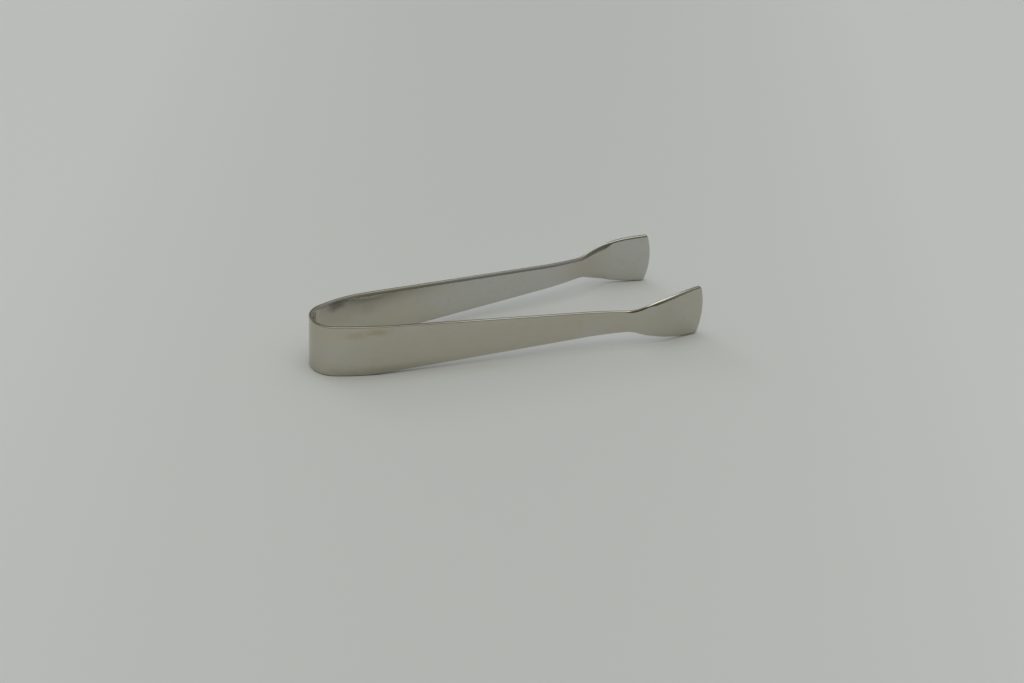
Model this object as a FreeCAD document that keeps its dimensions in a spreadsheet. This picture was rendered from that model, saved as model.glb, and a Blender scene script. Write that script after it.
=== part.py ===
import FreeCAD, Part
import os

# One-piece spring tongs: a stainless strip bent into a narrow U, with two tapering arms and spade jaws.
#
# Frame: the tongs lie on one long edge. X runs from the bow to the jaws, Y across the gap (far arm at +Y),
# Z up the width of the strip. The origin is under the middle of the bounding box, on the resting plane.
# The far half is built from the driving sizes, zone by zone, and the near half is its mirror image in Y = 0.

doc = FreeCAD.newDocument("spring_tongs")

# Driving sizes. Places are measured along X from the outside of the bow. A heading is the plan angle
# between the strip's middle line and +X, positive where the arm opens outwards.
MILLIMETRES = {
    "overall_length": 110,
    "thickness": 1.2,
    "strip_width": 15,
    "edge_round": 0.4,
    "crown_radius": 6.4,
    "shoulder_radius": 56,
    "arm_flex_place": 35.5,
    "flex_gap": 0.1,
    "neck_place": 74,
    "neck_radius": 88,
    "blade_radius": 31,
    "taper_start": 12.5,
    "taper_blend_radius": 120,
    "waist_place": 88,
    "waist_width": 6.4,
    "waist_radius": 10,
    "flare_radius": 57,
    "flare_top_place": 109.6,
    "tip_bulge": 1.35,
    "tip_corner_radius": 1,
    "reach": 30,
    "spare": 2,
}
DEGREES = {
    "crown_end_heading": 21,
    "arm_heading": 5,
    "neck_end_heading": 14.8,
    "blade_toe_in": 8.6,
}
UNITS = {alias: "mm" for alias in MILLIMETRES} | {alias: "deg" for alias in DEGREES}

sizes = doc.addObject("Spreadsheet::Sheet", "sizes")
for row, (alias, value) in enumerate((MILLIMETRES | DEGREES).items(), start=1):
    sizes.set(f"A{row}", alias)
    sizes.set(f"B{row}", str(value))
    sizes.setAlias(f"B{row}", alias)
doc.recompute()


def bind(obj, **expressions):
    """Ties properties to expressions in which <alias> is a size from the sheet, with its unit.

    A double underscore in a keyword stands for the dot of a sub-property.
    """
    for prop, expression in expressions.items():
        for alias, unit in UNITS.items():
            expression = expression.replace(f"<{alias}>", f"(sizes.{alias} * 1 {unit})")
        obj.setExpression(prop.replace("__", "."), expression)
    return obj


def add(kind, name, **expressions):
    """A new object of the document with its sizes tied to the sheet."""
    return bind(doc.addObject(kind, name), **expressions)


def turn(obj, axis, angle):
    """Turns obj about an axis through its own corner or centre by an angle given as an expression."""
    obj.Placement = FreeCAD.Placement(FreeCAD.Vector(), FreeCAD.Rotation(axis, 1))
    return bind(obj, Placement__Rotation__Angle=angle)


def cut(name, base, tool):
    result = doc.addObject("Part::Cut", name)
    result.Base = base
    result.Tool = tool
    return result


UP = FreeCAD.Vector(0, 0, 1)
ACROSS = FreeCAD.Vector(0, 1, 0)


# --- stations: the corners and arc centres of the far half's middle line, in plan -----------------------

def station(name, x, y):
    return add("Part::Vertex", name, X=x, Y=y)


def centre_inside(name, start, radius, heading):
    """Centre of an arc that leaves station start at heading and turns back towards the other arm."""
    return station(
        name,
        f"{start}.X + <{radius}> * sin({heading})",
        f"{start}.Y - <{radius}> * cos({heading})",
    )


def end_of_inside(name, centre, radius, heading):
    return station(
        name,
        f"{centre}.X - <{radius}> * sin({heading})",
        f"{centre}.Y + <{radius}> * cos({heading})",
    )


def along_arm(name, place):
    """A station on the straight arm, at a place given by the sheet."""
    x = f"<{place}> - <overall_length> / 2"
    return station(name, x, f"shoulder_end.Y + ({x} - shoulder_end.X) * tan(<arm_heading>)")


station("crown_centre", "<crown_radius> + <thickness> / 2 - <overall_length> / 2", "0 mm")
end_of_inside("crown_end", "crown_centre", "crown_radius", "<crown_end_heading>")
centre_inside("shoulder_centre", "crown_end", "shoulder_radius", "<crown_end_heading>")
end_of_inside("shoulder_end", "shoulder_centre", "shoulder_radius", "<arm_heading>")
along_arm("arm_flex", "arm_flex_place")
along_arm("neck_start", "neck_place")
station(
    "neck_centre",
    "neck_start.X - <neck_radius> * sin(<arm_heading>)",
    "neck_start.Y + <neck_radius> * cos(<arm_heading>)",
)
station(
    "neck_end",
    "neck_centre.X + <neck_radius> * sin(<neck_end_heading>)",
    "neck_centre.Y - <neck_radius> * cos(<neck_end_heading>)",
)
centre_inside("blade_centre", "neck_end", "blade_radius", "<neck_end_heading>")
end_of_inside("blade_end", "blade_centre", "blade_radius", "-<blade_toe_in>")


# --- ribbons: the strip of each zone as bent, at full height, before its outline is cut ------------------

def bent_ribbon(name, centre, radius, first, last):
    """A strip bent about a station, between two polar angles given as expressions."""
    walls = []
    for side, sign in (("outer", "+"), ("inner", "-")):
        wall = add(
            "Part::Cylinder",
            f"{name}_{side}",
            Radius=f"<{radius}> {sign} <thickness> / 2",
            Height="<strip_width> + 2 * <spare>",
            Angle=f"({last}) - ({first})",
        )
        turn(wall, UP, first)
        bind(
            wall,
            Placement__Base__x=f"{centre}.X",
            Placement__Base__y=f"{centre}.Y",
            Placement__Base__z="-<spare>",
        )
        walls.append(wall)
    return cut(name, *walls)


def flat_ribbon(name, start, heading, length):
    """A flat strip that leaves a station at a heading, both given as expressions."""
    plate = add(
        "Part::Box",
        name,
        Length=length,
        Width="<thickness>",
        Height="<strip_width> + 2 * <spare>",
    )
    turn(plate, UP, heading)
    return bind(
        plate,
        Placement__Base__x=f"{start}.X + <thickness> / 2 * sin({heading})",
        Placement__Base__y=f"{start}.Y - <thickness> / 2 * cos({heading})",
        Placement__Base__z="-<spare>",
    )


def run(start, end, gap="0 mm"):
    """Length of the straight arm between two stations, less a gap at its end."""
    return f"({end}.X - {start}.X) / cos(<arm_heading>) - {gap}"


crown_ribbon = bent_ribbon(
    "crown_ribbon",
    "crown_centre",
    "crown_radius",
    "90 deg + <crown_end_heading>",
    "270 deg - <crown_end_heading>",
)
shoulder_ribbon = bent_ribbon(
    "shoulder_ribbon",
    "shoulder_centre",
    "shoulder_radius",
    "90 deg + <arm_heading>",
    "90 deg + <crown_end_heading> - <flex_gap> / <shoulder_radius> * 1 rad",
)
root_ribbon = flat_ribbon(
    "root_ribbon", "shoulder_end", "<arm_heading>", run("shoulder_end", "arm_flex", "<flex_gap>")
)
arm_ribbon = flat_ribbon(
    "arm_ribbon", "arm_flex", "<arm_heading>", run("arm_flex", "neck_start")
)
neck_ribbon = bent_ribbon(
    "neck_ribbon",
    "neck_centre",
    "neck_radius",
    "<arm_heading> - 90 deg",
    "<neck_end_heading> - 90 deg",
)
jaw_ribbon = doc.addObject("Part::Fuse", "jaw_ribbon")
jaw_ribbon.Base = bent_ribbon(
    "jaw_bend",
    "blade_centre",
    "blade_radius",
    "90 deg - <blade_toe_in>",
    "90 deg + <neck_end_heading>",
)
jaw_ribbon.Tool = flat_ribbon(
    "jaw_flat", "blade_end", "-<blade_toe_in>", "<overall_length> / 2 - blade_end.X + <spare>"
)


# --- blank: the strip's outline seen along Y, as it is cut from the sheet --------------------------------

def across(kind, name, **expressions):
    """A box or cylinder that runs right across the tongs along Y."""
    return add(kind, name, Placement__Base__y="-<reach>", **expressions)


def disc(name, radius, x, z):
    """A cylinder along Y, with its radius and the place of its axis given as expressions."""
    cylinder = add("Part::Cylinder", name, Radius=radius, Height="2 * <reach>")
    cylinder.Placement = FreeCAD.Placement(
        FreeCAD.Vector(), FreeCAD.Rotation(FreeCAD.Vector(1, 0, 0), -90)
    )
    return bind(
        cylinder, Placement__Base__x=x, Placement__Base__y="-<reach>", Placement__Base__z=z
    )


def waist_cut():
    """What is cut away above the taper of the arm, up to the flare of the jaw."""
    slope = "atan((<strip_width> - <waist_width>) / 2 / (<waist_place> - <taper_start>))"
    above = add(
        "Part::Box",
        "above_taper",
        Length="<overall_length>",
        Width="2 * <reach>",
        Height="<strip_width>",
    )
    above.Placement = FreeCAD.Placement(FreeCAD.Vector(), FreeCAD.Rotation(ACROSS, 1))
    bind(
        above,
        Placement__Rotation__Angle=slope,
        Placement__Base__x="<taper_start> - <overall_length> / 2",
        Placement__Base__y="-<reach>",
        Placement__Base__z="<strip_width>",
    )
    flare = disc(
        "flare",
        "<flare_radius>",
        "<flare_top_place> - <overall_length> / 2",
        "<strip_width> - <flare_radius>",
    )
    return cut("waist_cut", above, flare)


def tip_cut():
    """What is cut away beyond the bulging end edge of the jaw."""
    bulge_radius = "((<strip_width> / 2)^2 + <tip_bulge>^2) / (2 * <tip_bulge>)"
    beyond = across(
        "Part::Box",
        "beyond_tip",
        Length="<strip_width>",
        Width="2 * <reach>",
        Height="<strip_width> + 2 * <spare>",
        Placement__Base__x="<overall_length> / 2 - <strip_width> / 2",
        Placement__Base__z="-<spare>",
    )
    bulge = disc(
        "tip_bulge_disc",
        bulge_radius,
        f"<overall_length> / 2 - {bulge_radius}",
        "<strip_width> / 2",
    )
    return cut("tip_cut", beyond, bulge)


sheet = across(
    "Part::Box",
    "sheet",
    Length="<overall_length> + 2 * <spare>",
    Width="2 * <reach>",
    Height="<strip_width>",
    Placement__Base__x="-<overall_length> / 2 - <spare>",
)
upper_waist = waist_cut()
lower_waist = doc.addObject("Part::Mirroring", "lower_waist")
lower_waist.Source = upper_waist
lower_waist.Normal = UP
bind(lower_waist, Base__z="<strip_width> / 2")
offcuts = doc.addObject("Part::MultiFuse", "offcuts")
offcuts.Shapes = [upper_waist, lower_waist, tip_cut()]
sharp_blank = cut("sharp_blank", sheet, offcuts)
doc.recompute()


def rounded(name, base, radius_of):
    """Rounds the edges of base for which radius_of gives a radius."""
    result = doc.addObject("Part::Fillet", name)
    result.Base = base
    radii = [(i, radius_of(edge)) for i, edge in enumerate(base.Shape.Edges, start=1)]
    result.Edges = [(i, radius, radius) for i, radius in radii if radius]
    return result


def blank_corner(edge):
    """The radius of a corner of the outline, which is an edge along Y, or None for any other edge."""
    box = edge.BoundBox
    if box.YLength < sizes.reach:
        return None
    place = box.XMin + sizes.overall_length / 2
    corners = (
        (sizes.taper_start, sizes.taper_blend_radius),
        (sizes.waist_place, sizes.waist_radius),
        (sizes.overall_length, sizes.tip_corner_radius),
    )
    for corner, radius in corners:
        if abs(place - corner) < sizes.spare:
            return radius
    return None


blank = rounded("blank", sharp_blank, blank_corner)
doc.recompute()


# --- zones: each ribbon cut to the outline, with its long edges rounded ----------------------------------

def is_zone_end(face):
    """True of the small upright flat face where the strip goes on into the next zone."""
    if face.Surface.TypeId != "Part::GeomPlane":
        return False
    upright = abs(face.normalAt(0, 0).z) < 0.01
    return upright and face.Area < 1.05 * sizes.thickness * sizes.strip_width


def crosses_rim(edge):
    """True of a seam that runs straight through the strip's thickness."""
    return edge.Curve.TypeId == "Part::GeomLine" and edge.Length < 1.2 * sizes.thickness


def zone(name, ribbon):
    """One zone of the strip as a sub-part of its own."""
    square = doc.addObject("Part::Common", f"{name}_square")
    square.Base = ribbon
    square.Tool = blank
    doc.recompute()
    ends = [edge for face in square.Shape.Faces if is_zone_end(face) for edge in face.Edges]

    def rim_radius(edge):
        kept_square = crosses_rim(edge) or any(edge.isSame(end) for end in ends)
        return None if kept_square else sizes.edge_round

    part = rounded(name, square, rim_radius)
    part.Label = name
    return part


def mirrored(name, source):
    """The near side's copy of a far sub-part."""
    part = doc.addObject("Part::Mirroring", name)
    part.Source = source
    part.Normal = ACROSS
    part.Label = name
    return part


FAR_ZONES = {
    "shoulder": shoulder_ribbon,
    "arm_root": root_ribbon,
    "arm": arm_ribbon,
    "neck": neck_ribbon,
    "jaw": jaw_ribbon,
}

parts = [zone("bow_crown", crown_ribbon)]
for place, ribbon in FAR_ZONES.items():
    far = zone(f"far_{place}", ribbon)
    parts += [far, mirrored(f"near_{place}", far)]
doc.recompute()

# --- checks and export -----------------------------------------------------------------------------------

for obj in doc.Objects:
    if {"Invalid", "Error"} & set(obj.State):
        raise RuntimeError(f"{obj.Label} did not recompute: {obj.State}")
for part in parts:
    shape = part.Shape
    if shape.isNull() or not shape.isValid() or len(shape.Solids) != 1:
        raise RuntimeError(f"{part.Label} is not one valid solid")

os.makedirs("parts", exist_ok=True)
for part in parts:
    part.Shape.exportStep(f"parts/{part.Label}.step")
    box = part.Shape.optimalBoundingBox()
    print(
        f"{part.Label:14s} {part.Shape.Volume:8.2f} mm3"
        f"  x {box.XMin:7.2f} {box.XMax:7.2f}  y {box.YMin:7.2f} {box.YMax:7.2f}"
        f"  z {box.ZMin:6.2f} {box.ZMax:6.2f}"
    )
for name in ("crown_end", "shoulder_end", "arm_flex", "neck_start", "neck_end", "blade_end"):
    point = doc.getObject(name)
    print(f"{name:14s} x {float(point.X):8.3f}  y {float(point.Y):8.3f}")
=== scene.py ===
"""Looks of the one-piece spring tongs: the bent stainless strip, its finish, the table, light and camera.

The strip is swept in mesh code along the same middle line and outline as the CAD zones, in millimetres, and
placed in metres in the CAD frame. Each arm is two lengths of one strip, which bend across the two flexes.
"""

import math

import bpy
import numpy as np
from mathutils import Matrix, Vector


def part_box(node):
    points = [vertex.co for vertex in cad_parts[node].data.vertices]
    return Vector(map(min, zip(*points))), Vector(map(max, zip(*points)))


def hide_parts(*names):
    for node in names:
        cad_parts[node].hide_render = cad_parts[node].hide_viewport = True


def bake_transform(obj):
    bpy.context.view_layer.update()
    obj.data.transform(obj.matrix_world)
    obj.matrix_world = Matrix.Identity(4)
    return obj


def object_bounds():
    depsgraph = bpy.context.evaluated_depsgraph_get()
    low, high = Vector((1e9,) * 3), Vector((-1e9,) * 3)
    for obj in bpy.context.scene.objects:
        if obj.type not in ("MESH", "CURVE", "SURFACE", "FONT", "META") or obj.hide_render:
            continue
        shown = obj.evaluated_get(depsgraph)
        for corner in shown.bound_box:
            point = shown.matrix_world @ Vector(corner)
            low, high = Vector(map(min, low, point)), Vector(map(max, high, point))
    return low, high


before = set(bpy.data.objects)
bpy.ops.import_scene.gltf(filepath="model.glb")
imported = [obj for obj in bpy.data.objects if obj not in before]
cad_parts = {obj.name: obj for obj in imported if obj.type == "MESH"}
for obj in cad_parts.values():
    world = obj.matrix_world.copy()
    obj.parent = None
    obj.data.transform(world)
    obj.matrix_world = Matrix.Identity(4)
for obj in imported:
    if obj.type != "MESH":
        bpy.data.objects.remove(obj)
cad_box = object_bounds()
scene = bpy.context.scene
MM = 0.001

# --- sizes of the strip, in millimetres and degrees; places are measured from the outside of the bow ----

BOW_X = cad_box[0].x / MM
LENGTH = (cad_box[1].x - cad_box[0].x) / MM
HALF_WIDTH = (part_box("bow_crown")[1].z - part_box("bow_crown")[0].z) / MM / 2
THICKNESS = 1.2

CROWN_RADIUS, CROWN_END = 6.4, 21.0
SHOULDER_RADIUS, ARM_HEADING = 56.0, 5.0
NECK_PLACE, NECK_RADIUS, NECK_END = 74.0, 88.0, 14.8
BLADE_RADIUS, BLADE_END = 31.0, -8.6

TAPER_START, TAPER_BLEND = 12.5, 120.0
WAIST_PLACE, WAIST_WIDTH, WAIST_RADIUS = 88.0, 6.4, 10.0
FLARE_RADIUS, FLARE_TOP = 57.0, 109.6
TIP_BULGE, TIP_CORNER = 1.35, 1.0

# The rounding of the rims, as (reach on to the face, depth into the thickness, fullness): a fullness of 2
# is an elliptic round and 1 a flat bevel. A polishing belt dressed one face of each flare by hand, the near
# jaw's outside and the far jaw's inside. Each pass is a rounding, and the places where it starts, is full,
# wanes and ends.
OUTER_ROUND, INNER_ROUND = (0.32, 0.4, 1.8), (0.85, 0.55, 1.35)
FLARE_ROUND, END_ROUND = (0.5, 0.35, 1.4), (0.8, 0.4, 2.0)
FLARE_START, FLARE_END = 92.0, 99.0
BELT_PASSES = {
    "near": (
        ((0.6, 0.35, 1.25), (85.0, 88.0, 90.5, 93.5)),
        ((1.45, 0.82, 2.0), (91.5, 94.5, 99.0, 107.0)),
    ),
    "far": (((1.75, 0.84, 1.5), (86.0, 90.0, 95.0, 98.0)),),
}

# Where each arm's two lengths meet.
SEAM_PLACE = 17.0


# --- the strip's middle line in plan --------------------------------------------------------------------

def lay_out_plan():
    """Each stretch of the far half's middle line: (distance run so far, start, heading, curvature)."""
    point = np.array([BOW_X + THICKNESS / 2, 0.0])
    heading = math.pi / 2
    run = 0.0
    stretches = []
    bends = (
        (CROWN_RADIUS, CROWN_END, None),
        (SHOULDER_RADIUS, ARM_HEADING, NECK_PLACE),
        (NECK_RADIUS, NECK_END, None),
        (BLADE_RADIUS, BLADE_END, LENGTH),
    )
    for radius, end_degrees, straight_to in bends:
        end = math.radians(end_degrees)
        curvature = math.copysign(1 / radius, end - heading)
        stretches.append((run, point, heading, curvature))
        run += radius * abs(end - heading)
        turned = np.array([math.sin(end) - math.sin(heading), math.cos(heading) - math.cos(end)])
        point = point + turned / curvature
        heading = end
        if straight_to is not None:
            stretches.append((run, point, heading, 0.0))
            length = (BOW_X + straight_to - point[0]) / math.cos(heading)
            point = point + length * np.array([math.cos(heading), math.sin(heading)])
            run += length
    return stretches, run


STRETCHES, STRIP_END = lay_out_plan()
PLAN_SAMPLES = 4000


def on_middle_line(distance):
    """Plan position and heading of points at these distances from the middle of the bow."""
    distance = np.asarray(distance, float)
    place = np.zeros(distance.shape + (2,))
    heading = np.zeros(distance.shape)
    for start_run, start, start_heading, curvature in STRETCHES:
        here = distance >= start_run - 1e-9
        run = distance[here] - start_run
        if curvature:
            turned = start_heading + curvature * run
            across = np.stack(
                [np.sin(turned) - math.sin(start_heading), math.cos(start_heading) - np.cos(turned)], -1
            )
            place[here] = start + across / curvature
            heading[here] = turned
        else:
            direction = np.array([math.cos(start_heading), math.sin(start_heading)])
            place[here] = start + run[:, None] * direction
            heading[here] = start_heading
    return place, heading


def distance_at(place):
    """Distance along the middle line at which X is this far from the outside of the bow."""
    runs = np.linspace(0, STRIP_END, PLAN_SAMPLES)
    return float(np.interp(place, on_middle_line(runs)[0][:, 0] - BOW_X, runs))


# --- the strip's outline, as cut from the sheet ---------------------------------------------------------

def half_width(place):
    """Half the width of the strip: a straight taper, a hollow waist and a flare that rounds over to level."""
    slope = (2 * HALF_WIDTH - WAIST_WIDTH) / 2 / (WAIST_PLACE - TAPER_START)
    into_taper = np.clip(place - TAPER_START + TAPER_BLEND * slope / 2, 0, None)
    in_blend = np.minimum(into_taper, TAPER_BLEND * slope)
    taper = HALF_WIDTH - in_blend**2 / (2 * TAPER_BLEND) - slope * (into_taper - in_blend)

    short_of_top = np.clip(FLARE_TOP - place, 0, FLARE_RADIUS)
    flare = HALF_WIDTH - FLARE_RADIUS + np.sqrt(FLARE_RADIUS**2 - short_of_top**2)

    # The waist is an arc that touches the taper line and the flare arc.
    lean = math.hypot(1, slope)
    rise = HALF_WIDTH + slope * TAPER_START + WAIST_RADIUS * lean
    flare_centre = HALF_WIDTH - FLARE_RADIUS
    a = 1 + slope**2
    b = -2 * (FLARE_TOP + slope * (rise - flare_centre))
    c = FLARE_TOP**2 + (rise - flare_centre) ** 2 - (FLARE_RADIUS + WAIST_RADIUS) ** 2
    waist_x = (-b - math.sqrt(b * b - 4 * a * c)) / (2 * a)
    waist_z = rise - slope * waist_x
    first = waist_x - WAIST_RADIUS * slope / lean
    last = waist_x + WAIST_RADIUS * (FLARE_TOP - waist_x) / (FLARE_RADIUS + WAIST_RADIUS)
    off_centre = np.clip(place - waist_x, -WAIST_RADIUS, WAIST_RADIUS)
    waist = waist_z - np.sqrt(WAIST_RADIUS**2 - off_centre**2)
    return np.where(place < first, taper, np.where(place < last, waist, flare))


def smooth(low, high, values):
    share = np.clip((np.asarray(values, float) - low) / (high - low), 0, 1)
    return share * share * (3 - 2 * share)


def rounding(edge, outward, side, face):
    """Reach, depth and fullness of the rim's rounding along the edge. A face is 1 outside and -1 inside."""
    place = (on_middle_line(edge[:, 0])[0][:, 0] - BOW_X)[:, None]
    size = np.array(OUTER_ROUND if face > 0 else INNER_ROUND)
    size = size + (np.array(FLARE_ROUND) - size) * smooth(FLARE_START, FLARE_END, place)
    if face == -side:
        for polished, (start, full, wane, end) in BELT_PASSES["near" if side < 0 else "far"]:
            share = smooth(start, full, place) * (1 - smooth(wane, end, place))
            size = size + (np.array(polished) - size) * share
    ended = smooth(0, 1, outward[:, :1]) * (place > FLARE_END)
    size = size + (np.array(END_ROUND) - size) * ended
    return size[:, :1], size[:, 1:2], size[:, 2:]


CORNER_STEPS = 10
END_STEPS = 14


def tip_outline():
    """The end of the blade, from the middle of its upper corner down the bulging end, as (run, height)."""
    bulge_radius = (HALF_WIDTH**2 + TIP_BULGE**2) / (2 * TIP_BULGE)
    bulge_centre = STRIP_END - bulge_radius
    corner_z = float(half_width(LENGTH - TIP_BULGE - TIP_CORNER)) - TIP_CORNER
    corner_run = bulge_centre + math.sqrt((bulge_radius - TIP_CORNER) ** 2 - corner_z**2)
    meets = math.atan2(corner_z, corner_run - bulge_centre)
    corner = np.linspace(math.pi / 2, meets, 2 * CORNER_STEPS + 1)
    arc = np.stack([corner_run + TIP_CORNER * np.cos(corner), corner_z + TIP_CORNER * np.sin(corner)], -1)
    arc_out = np.stack([np.cos(corner), np.sin(corner)], -1)
    sweep = np.linspace(meets, -meets, END_STEPS + 1)[1:-1]
    bulge_out = np.stack([np.cos(sweep), np.sin(sweep)], -1)
    bulge = bulge_radius * bulge_out + (bulge_centre, 0)
    upper, upper_out = arc[: CORNER_STEPS + 1], arc_out[: CORNER_STEPS + 1]
    second, second_out = arc[CORNER_STEPS:], arc_out[CORNER_STEPS:]
    mirror = np.array([1, -1])
    end = np.concatenate([second, bulge, second[::-1] * mirror])
    end_out = np.concatenate([second_out, bulge_out, second_out[::-1] * mirror])
    return upper, upper_out, end, end_out


# --- sweeping the strip ---------------------------------------------------------------------------------

# How finely the strip is cut up, and how far back from its end the rows of points bulge with the end.
CROWN_STEP, ARM_STEP = 0.11, 0.4
STEP_GROWTH_RUN = 14.0
ROUND_STEPS = 8
FLAT_STEPS = 14
BULGE_RUN = 9.0


def stations(first, last):
    """Distances along the strip, close together on the tight crown and further apart on the arms."""
    crown_length = CROWN_RADIUS * math.radians(90 - CROWN_END)
    spots = [first]
    while spots[-1] < last:
        share = np.clip((spots[-1] - crown_length) / STEP_GROWTH_RUN, 0, 1)
        spots.append(spots[-1] + CROWN_STEP + share * (ARM_STEP - CROWN_STEP))
    spots = np.array(spots)
    return first + (spots - first) * (last - first) / (spots[-1] - first)


def rim_rows():
    """The rounded rim, from the outer face to the inner one, as (quarter angle, face)."""
    quarter = np.linspace(math.pi / 2, 0, ROUND_STEPS + 1)
    return [(angle, 1) for angle in quarter[1:]] + [(angle, -1) for angle in quarter[:0:-1]]


class Sheet:
    """Collects the points, normals and faces of a strip, given in flat coordinates, and bends them."""

    def __init__(self, side):
        self.side = side
        self.flat, self.normals, self.faces, self.caps = [], [], [], []
        self.count = 0

    def add(self, flat, normals):
        """Points as (run, height, offset) and normals in the same directions; returns their numbers."""
        flat = np.asarray(flat, float).reshape(-1, 3)
        self.flat.append(flat)
        self.normals.append(np.broadcast_to(normals, flat.shape))
        numbers = np.arange(self.count, self.count + len(flat))
        self.count += len(flat)
        return numbers

    def skin(self, rows, turned=False):
        """Quads over a table of point numbers."""
        quads = np.stack([rows[:-1, :-1], rows[1:, :-1], rows[1:, 1:], rows[:-1, 1:]], -1).reshape(-1, 4)
        self.faces += (quads[:, ::-1] if turned else quads).tolist()

    def cap(self, loop):
        self.caps.append(len(self.faces))
        self.faces.append(list(loop))

    def build(self, name):
        flat, normals = np.concatenate(self.flat), np.concatenate(self.normals)
        place, heading = on_middle_line(flat[:, 0])
        along = np.stack([np.cos(heading), np.sin(heading)], -1)
        outward = np.stack([-np.sin(heading), np.cos(heading)], -1)
        points = np.column_stack([place + outward * flat[:, 2:], flat[:, 1] + HALF_WIDTH])
        facing = np.column_stack([along * normals[:, :1] + outward * normals[:, 2:], normals[:, 1]])
        points[:, 1] *= self.side
        facing[:, 1] *= self.side
        faces = [face[:: -1 if self.side < 0 else 1] for face in self.faces]
        mesh = bpy.data.meshes.new(name)
        mesh.from_pydata((points * MM).tolist(), [], faces)
        strip = mesh.attributes.new("strip_mm", "FLOAT_VECTOR", "POINT")
        strip.data.foreach_set("vector", (flat * (self.side, 1, 1)).ravel())
        mesh.update()
        mesh.shade_smooth()
        caps = set(self.caps)
        corner_normals = [
            tuple(polygon.normal) if polygon.index in caps else tuple(facing[vertex])
            for polygon in mesh.polygons
            for vertex in polygon.vertices
        ]
        mesh.normals_split_custom_set(corner_normals)
        thing = bpy.data.objects.new(name, mesh)
        scene.collection.objects.link(thing)
        return thing


def strip_length(name, side, first, last):
    """One length of the strip. It ends in the blade's rounded end if last is None, else in a flat cut."""
    has_tip = last is None
    if has_tip:
        tip_top, tip_top_out, end, end_out = tip_outline()
        spots = stations(first, tip_top[0, 0])
    else:
        spots = stations(first, last)
    heights = half_width(on_middle_line(spots)[0][:, 0] - BOW_X)
    slopes = np.gradient(heights, spots)
    top = np.stack([spots, heights], -1)
    top_out = np.stack([-slopes, np.ones_like(slopes)], -1) / np.hypot(1, slopes)[:, None]
    if has_tip:
        top = np.concatenate([top, tip_top[1:]])
        top_out = np.concatenate([top_out, tip_top_out[1:]])
    else:
        across = np.linspace(1, -1, FLAT_STEPS + 1)
        end = np.stack([np.full_like(across, last), across * heights[-1]], -1)

    mirror = np.array([1, -1])
    sheet = Sheet(side)
    faces = []
    for face in (1, -1):
        face_top = top - top_out * rounding(top, top_out, side, face)[0]
        if has_tip:
            face_end = end - end_out * rounding(end, end_out, side, face)[0]
            shares = face_end[:, 1] / face_end[0, 1]
            lag = face_end[:, 0] - face_end[0, 0]
        else:
            shares = end[:, 1] / end[0, 1]
            lag = np.zeros_like(shares)
        near_end = np.clip(1 - (face_top[-1, 0] - face_top[:, 0]) / BULGE_RUN, 0, 1)
        run = face_top[:, :1] + near_end[:, None] ** 2 * lag
        height = face_top[:, 1:] * shares
        grid = np.stack([run, height, np.full_like(run, face * THICKNESS / 2)], -1)
        faces.append(sheet.add(grid, (0, 0, face)).reshape(run.shape))
        sheet.skin(faces[-1], turned=face < 0)
    outer, inner = faces

    if has_tip:
        edge = np.concatenate([top, end[1:-1], top[::-1] * mirror])
        edge_out = np.concatenate([top_out, end_out[1:-1], top_out[::-1] * mirror])
        border = [np.concatenate([f[:, 0], f[-1, 1:-1], f[::-1, -1]]) for f in faces]
        rims = [(edge, edge_out, *border)]
    else:
        rims = [
            (top, top_out, outer[:, 0], inner[:, 0]),
            (top[::-1] * mirror, top_out[::-1] * mirror, outer[::-1, -1], inner[::-1, -1]),
        ]
    cuts = []
    for edge, edge_out, outer_border, inner_border in rims:
        rows = [outer_border]
        sizes = {face: rounding(edge, edge_out, side, face) for face in (1, -1)}
        for angle, face in rim_rows():
            reach, depth, fullness = sizes[face]
            out, lift = math.cos(angle) ** (2 / fullness), math.sin(angle) ** (2 / fullness)
            offset = face * (THICKNESS / 2 - depth * (1 - lift))
            flat = np.column_stack([edge - edge_out * reach * (1 - out), offset])
            steep, shallow = out ** (fullness - 1) * depth, lift ** (fullness - 1) * reach
            normals = np.column_stack([edge_out * steep, face * shallow])
            normals /= np.linalg.norm(normals, axis=1)[:, None]
            rows.append(sheet.add(flat, normals))
        rows.append(inner_border)
        rows = np.stack(rows)
        sheet.skin(rows)
        cuts += [rows[:, 0], rows[:, -1]]

    upper_first, lower_first = cuts[0], cuts[-1]
    sheet.cap([*outer[0], *lower_first[1:-1], *inner[0, ::-1], *upper_first[-2:0:-1]])
    if not has_tip:
        upper_last, lower_last = cuts[1], cuts[2]
        sheet.cap([*outer[-1, ::-1], *upper_last[1:-1], *inner[-1], *lower_last[-2:0:-1]])
    return sheet.build(name)


# --- finish ---------------------------------------------------------------------------------------------

# The Mix node's sockets for colours, which have the same names as its sockets for numbers.
MIX_A, MIX_B, MIX_COLOUR = 6, 7, 2

# How far out a patch starts to fade and is gone, once the noise is added, where 1 is its reach.
PATCH_FULL, PATCH_GONE = 0.6, 1.5


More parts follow.
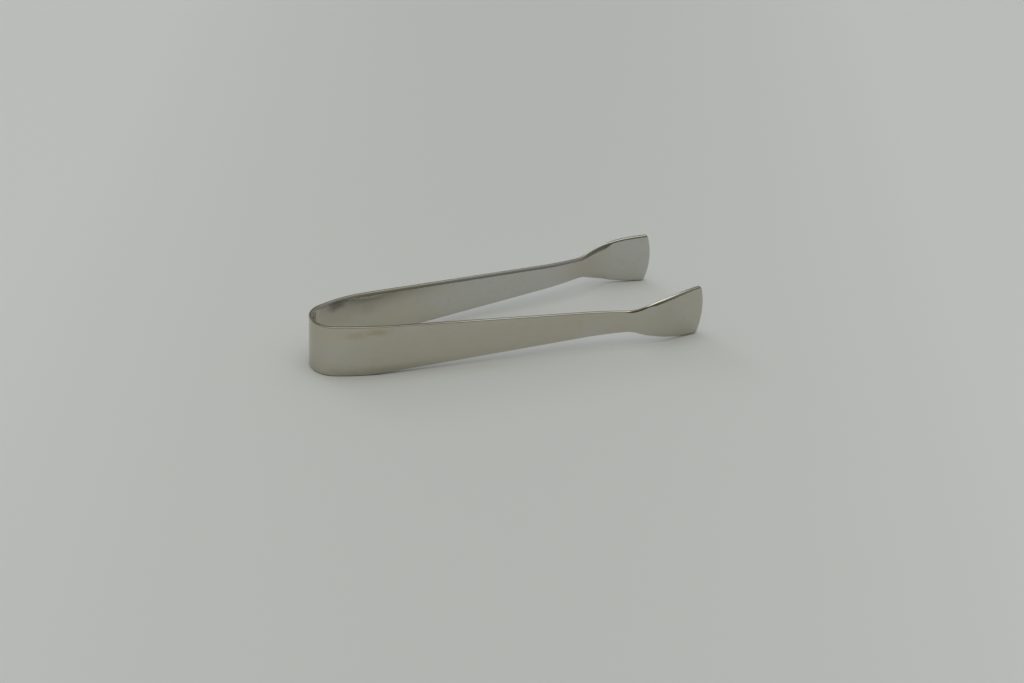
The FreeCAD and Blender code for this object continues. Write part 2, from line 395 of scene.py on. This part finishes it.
class Graph:
    """The node tree of a material or a world, with short calls."""

    def __init__(self, owner):
        owner.use_nodes = True
        self.tree = owner.node_tree

    def node(self, kind, settings=None, **inputs):
        node = self.tree.nodes.new(kind)
        for key, value in (settings or {}).items():
            setattr(node, key, value)
        for key, value in inputs.items():
            self.feed(node.inputs[key.replace("_", " ")], value)
        return node

    def feed(self, socket, value):
        if isinstance(value, bpy.types.NodeSocket):
            self.tree.links.new(value, socket)
        else:
            socket.default_value = value

    def set(self, shader, **inputs):
        for key, value in inputs.items():
            self.feed(self.tree.nodes[shader].inputs[key.replace("_", " ")], value)

    def maths(self, operation, a, b=0.0):
        node = self.node("ShaderNodeMath", {"operation": operation})
        self.feed(node.inputs[0], a)
        self.feed(node.inputs[1], b)
        return node.outputs[0]

    def product(self, *factors):
        result = factors[0]
        for factor in factors[1:]:
            result = self.maths("MULTIPLY", result, factor)
        return result

    def total(self, *terms):
        result = terms[0]
        for term in terms[1:]:
            result = self.maths("ADD", result, term)
        return result

    def blend(self, share, a, b):
        node = self.node("ShaderNodeMix", {"data_type": "RGBA"}, Factor=share)
        self.feed(node.inputs[MIX_A], a)
        self.feed(node.inputs[MIX_B], b)
        return node.outputs[MIX_COLOUR]

    def ramp(self, value, low, high, to_low=0.0, to_high=1.0):
        """A smooth step from one value to another."""
        node = self.node("ShaderNodeMapRange", {"interpolation_type": "SMOOTHSTEP"}, Value=value)
        for key, number in (("From Min", low), ("From Max", high), ("To Min", to_low), ("To Max", to_high)):
            node.inputs[key].default_value = number
        return node.outputs["Result"]

    def stretch(self, vector, x, y, z, offset=(0, 0, 0)):
        node = self.node("ShaderNodeMapping", Vector=vector, Scale=(x, y, z), Location=offset)
        return node.outputs["Vector"]

    def noise(self, vector, scale, detail=3.0, roughness=0.5):
        settings = {"Vector": vector, "Scale": scale, "Detail": detail, "Roughness": roughness}
        node = self.node("ShaderNodeTexNoise", **settings)
        return node.outputs["Factor"] if "Factor" in node.outputs else node.outputs["Fac"]

    def patch(self, vector, noise, middle, reach):
        """1 in the middle of a soft patch and 0 out of its reach, with an edge broken up by the noise."""
        scale = [1 / r for r in reach]
        off = self.stretch(vector, *scale, offset=[-m / r for m, r in zip(middle, reach)])
        length = self.node("ShaderNodeVectorMath", {"operation": "LENGTH"})
        self.feed(length.inputs[0], off)
        return self.ramp(self.total(length.outputs["Value"], noise), PATCH_FULL, PATCH_GONE, 1.0, 0.0)

    def bump(self, height, distance, normal=None):
        node = self.node("ShaderNodeBump", Height=height, Distance=distance)
        if normal is not None:
            self.feed(node.inputs["Normal"], normal)
        return node.outputs["Normal"]


STEEL = (0.555, 0.53, 0.445, 1)
STEEL_BROWN = (0.54, 0.50, 0.405, 1)
STEEL_GREY = (0.56, 0.56, 0.53, 1)
# Dark olive steel: painted shade on the bow's outer rims, painted dark reflections, and darker patches.
STEEL_DULL_AND_SHADE = (0.19, 0.185, 0.13, 1)
# A brown tone: tarnish in some smears, and a painted reflection on the far jaw.
TARNISH_AND_REFLECTION = (0.42, 0.33, 0.19, 1)

# Smears and painted reflections, as (colour, share, middle, reach). Middles and reaches are in millimetres
# along the strip, across it and through it, and the run along it is negative on the near side.
SMEARS_AND_PAINTED_REFLECTIONS = (
    (TARNISH_AND_REFLECTION, 0.35, (-13.5, 4.9, 0.6), (5.0, 1.5, 0.6)),
    (TARNISH_AND_REFLECTION, 0.5, (-19.3, 5.6, 0.6), (5.0, 1.5, 0.6)),
    (TARNISH_AND_REFLECTION, 0.25, (23.0, 2.0, -0.6), (3.6, 2.2, 0.6)),
    # Painted reflection: a dark patch on the far bow's inner face, near its top.
    (STEEL_DULL_AND_SHADE, 0.72, (13.0, 6.2, -0.6), (4.4, 2.8, 0.6)),
    # Painted reflection: a darker band along the bottom of the near bow's and arm's outer face, where the
    # table's shade is mirrored.
    (STEEL_DULL_AND_SHADE, 0.3, (-24.0, -7.0, 0.6), (24.0, 3.2, 0.6)),
    # Darker over the outside of the crown and of the near jaw.
    (STEEL_DULL_AND_SHADE, 0.12, (0.0, 0.0, 0.6), (9.0, 40.0, 0.6)),
    (STEEL_DULL_AND_SHADE, 0.10, (-106.0, 0.0, 0.6), (16.0, 40.0, 0.6)),
    # Painted reflection: a browner tone over the far jaw's inner face.
    (TARNISH_AND_REFLECTION, 0.25, (93.0, 0.0, -0.6), (12.0, 40.0, 0.6)),
)

# Noises over the strip, as (cells per millimetre along, across and through it, detail, roughness).
SMUDGE_NOISE = (0.10, 0.16, 0.5), 4.0, 0.6
MOTTLE_NOISE = (0.5, 0.6, 0.5), 3.0, 0.6
GRAIN_NOISE = (0.25, 16.0, 1.0), 2.0, 0.6
WAVE_NOISE = (0.09, 0.12, 0.3), 1.0, 0.4
GRAIN_HEIGHT, WAVE_HEIGHT = 0.0000006, 0.00003

# Where looks come in or go out, in millimetres of run along the strip.
FAR_GREY, NEAR_GREY = (30.0, 60.0), (-96.0, -84.0)
# Where the bow's outer rims are rougher and carry painted shade.
BOW_DULLNESS_AND_SHADE = 30.0, 55.0
FLARE_SATIN, FAR_ARM_SATIN = (84.0, 94.0), (38.0, 48.0)

# The same in millimetres outwards from the middle of the thickness. All that is short of a face is rim.
OFF_FACE, OFF_OUTER_EDGE, OUTER_HALF = (0.58, 0.598), (0.4, 0.55), (0.0, 0.2)

WARM_SHARES = 0.3, 1.0
NEAR_GREY_SHARE, BROWN_SHARE = 0.3, 0.7
SMUDGE_ROUGHNESS, GRAIN_ROUGHNESS = (0.025, 0.05), (-0.005, 0.01)
DULL_ROUGHNESS, SATIN_ROUGHNESS = 0.25, 0.16


def steel():
    """Polished stainless: a faint lengthwise grain, smears, and rims that are rougher or satin in places.
    Painted shade darkens the bow's outer rims, and patches of painted reflection darken or brown some faces.

    The strip_mm attribute holds the run, negative on the near side, the height, and the offset outwards.
    """
    material = bpy.data.materials.new("polished_stainless")
    g = Graph(material)
    place = g.node("ShaderNodeAttribute", {"attribute_name": "strip_mm"}).outputs["Vector"]
    axes = g.node("ShaderNodeSeparateXYZ", Vector=place).outputs
    signed_run, offset = axes["X"], axes["Z"]
    run = g.maths("ABSOLUTE", signed_run)
    smudge, mottle, grain, wave = [
        g.noise(g.stretch(place, *cells), 1.0, detail, roughness)
        for cells, detail, roughness in (SMUDGE_NOISE, MOTTLE_NOISE, GRAIN_NOISE, WAVE_NOISE)
    ]

    rim = g.ramp(g.maths("ABSOLUTE", offset), *OFF_FACE, 1.0, 0.0)
    edge = g.ramp(offset, *OFF_OUTER_EDGE, 1.0, 0.0)
    dull_and_shaded = g.product(rim, g.ramp(offset, *OUTER_HALF), g.ramp(run, *BOW_DULLNESS_AND_SHADE, 1.0, 0.0))
    belted = g.maths("MAXIMUM", g.ramp(run, *FLARE_SATIN), g.ramp(signed_run, *FAR_ARM_SATIN))
    satin = g.product(rim, belted)

    near_grey = g.ramp(signed_run, *NEAR_GREY, NEAR_GREY_SHARE, 0.0)
    grey = g.total(g.ramp(signed_run, *FAR_GREY), near_grey)
    warmth = g.maths("SUBTRACT", g.ramp(smudge, 0.25, 0.6, *WARM_SHARES), grey)
    clean = g.blend(g.maths("MAXIMUM", warmth, 0.0), STEEL_GREY, STEEL)
    colour = g.blend(g.ramp(mottle, 0.45, 0.8, 0.0, BROWN_SHARE), clean, STEEL_BROWN)
    # Painted shade: the bow's outer rims, short of the outer edge, are darkened as well as roughened.
    colour = g.blend(g.product(dull_and_shaded, edge), colour, STEEL_DULL_AND_SHADE)
    for patch_colour, share, middle, reach in SMEARS_AND_PAINTED_REFLECTIONS:
        patch_share = g.product(g.patch(place, mottle, middle, reach), share)
        colour = g.blend(patch_share, colour, patch_colour)

    polish = g.total(
        g.ramp(smudge, 0.3, 0.7, *SMUDGE_ROUGHNESS), g.ramp(grain, 0.3, 0.7, *GRAIN_ROUGHNESS)
    )
    rough = g.total(polish, g.product(dull_and_shaded, DULL_ROUGHNESS), g.product(satin, SATIN_ROUGHNESS))
    normal = g.bump(wave, WAVE_HEIGHT, normal=g.bump(grain, GRAIN_HEIGHT))
    g.set("Principled BSDF", Base_Color=colour, Roughness=rough, Normal=normal, Metallic=1.0)
    return material


VIEW_TURN = math.radians(25.13)
PAPER_MIDDLE, PAPER_ENDS_PAINTED_LIGHT = (0.778, 0.797, 0.806, 1), (0.873, 0.893, 0.907, 1)
PAPER_REACH = 0.14
PAPER_GRAIN, PAPER_GRAIN_HEIGHT = 900.0, 0.00002


def paper():
    """The plain pale table, with painted light: its colour is paler towards both ends across the view."""
    material = bpy.data.materials.new("pale_table")
    g = Graph(material)
    place = g.node("ShaderNodeNewGeometry").outputs["Position"]
    axes = g.node("ShaderNodeSeparateXYZ", Vector=place).outputs
    across = g.total(
        g.product(axes["X"], math.cos(VIEW_TURN) / PAPER_REACH),
        g.product(axes["Y"], -math.sin(VIEW_TURN) / PAPER_REACH),
    )
    # Painted light: the colour pales from the middle towards both ends across the view.
    g.set(
        "Principled BSDF",
        Base_Color=g.blend(g.maths("MINIMUM", g.product(across, across), 1.0), PAPER_MIDDLE, PAPER_ENDS_PAINTED_LIGHT),
        Roughness=0.6,
        Normal=g.bump(g.noise(place, PAPER_GRAIN), PAPER_GRAIN_HEIGHT),
        Specular_IOR_Level=0.25,
    )
    return material


# --- the tongs ------------------------------------------------------------------------------------------


def bend_across(piece):
    """Bakes the piece's placement into its mesh."""
    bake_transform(piece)


steel_finish = steel()
seam = distance_at(SEAM_PLACE)
for side_name, side in (("near", -1), ("far", 1)):
    bow_half = strip_length(f"{side_name}_bow_half", side, 0.0, seam)
    bend_across(bow_half)
    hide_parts("bow_crown", f"{side_name}_shoulder")
    limb = strip_length(f"{side_name}_arm_strip", side, seam, None)
    bend_across(
        limb
    )
    zones = [f"{side_name}_{zone}" for zone in ("arm_root", "arm", "neck", "jaw")]
    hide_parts(*zones)
    for piece in (bow_half, limb):
        piece.data.materials.append(steel_finish)


# --- table, light and camera ----------------------------------------------------------------------------

TABLE_SIZE = 6.0


def table():
    bpy.ops.mesh.primitive_plane_add(size=TABLE_SIZE, location=(0, 0, cad_box[0].z))
    floor = bpy.context.object
    floor.name = "table"
    floor.data.materials.append(paper())


def towards(azimuth, elevation):
    """A direction, from degrees round from +X and degrees up."""
    around, up = math.radians(azimuth), math.radians(elevation)
    return (math.cos(up) * math.cos(around), math.cos(up) * math.sin(around), math.sin(up))


WALLS = 0.26
SOFT_BOX = {"aim": (-0.095, -0.135, 1.0), "level": 2.22, "tightness": 8}
WINDOW = {"aim": towards(107, 29), "level": 1.9, "tightness": 60}
DIM_SIDE = {"aim": towards(-126, 5), "level": 0.9, "tightness": 1}
WHITE, DIM_TINT = (1.0, 1.0, 1.0, 1), (1.0, 1.0, 0.62, 1)


def room():
    """Soft light by direction: a soft box overhead, a window low beyond, and a dim side for the viewer."""
    world = bpy.data.worlds.new("room")
    scene.world = world
    g = Graph(world)
    direction = g.node("ShaderNodeTexCoord").outputs["Generated"]

    def glow(aim, level, tightness):
        """Light round an aim, which fades as a power of the cosine of the angle off it."""
        off_aim = g.node("ShaderNodeVectorMath", {"operation": "DOT_PRODUCT"})
        g.feed(off_aim.inputs[0], direction)
        g.feed(off_aim.inputs[1], Vector(aim).normalized())
        faced = g.maths("MAXIMUM", off_aim.outputs["Value"], 0.0)
        return g.product(g.maths("POWER", faced, tightness), level)

    light = g.total(glow(**SOFT_BOX), glow(**WINDOW), WALLS)
    dim = glow(**DIM_SIDE)
    g.set(
        "Background",
        Color=g.blend(dim, WHITE, DIM_TINT),
        Strength=g.product(light, g.maths("SUBTRACT", 1.0, dim)),
    )


CAMERA_TILT, CAMERA_ROLL = math.radians(30.3), math.radians(3.39)
CAMERA_TARGET = Vector((2.07, -4.74, 0)) * MM
CAMERA_DISTANCE = 500.5 * MM
SENSOR_WIDTH, FOCAL_LENGTH = 36.0, 63.28125


def camera():
    """A long lens, looking down on the tongs from beyond the near arm and a little from the bow."""
    flat, drop = math.cos(CAMERA_TILT), math.sin(CAMERA_TILT)
    forward = Vector((math.sin(VIEW_TURN) * flat, math.cos(VIEW_TURN) * flat, -drop))
    level = Vector((math.cos(VIEW_TURN), -math.sin(VIEW_TURN), 0))
    upright = level.cross(forward)
    right = math.cos(CAMERA_ROLL) * level + math.sin(CAMERA_ROLL) * upright
    up = math.cos(CAMERA_ROLL) * upright - math.sin(CAMERA_ROLL) * level
    lens = bpy.data.cameras.new("camera")
    lens.sensor_width = SENSOR_WIDTH
    lens.lens = FOCAL_LENGTH
    lens.clip_start = 0.01
    thing = bpy.data.objects.new("camera", lens)
    standpoint = Matrix.Translation(CAMERA_TARGET - forward * CAMERA_DISTANCE)
    thing.matrix_world = standpoint @ Matrix((right, up, -forward)).transposed().to_4x4()
    scene.collection.objects.link(thing)
    scene.camera = thing


table()
room()
camera()
scene.view_settings.view_transform = "Standard"
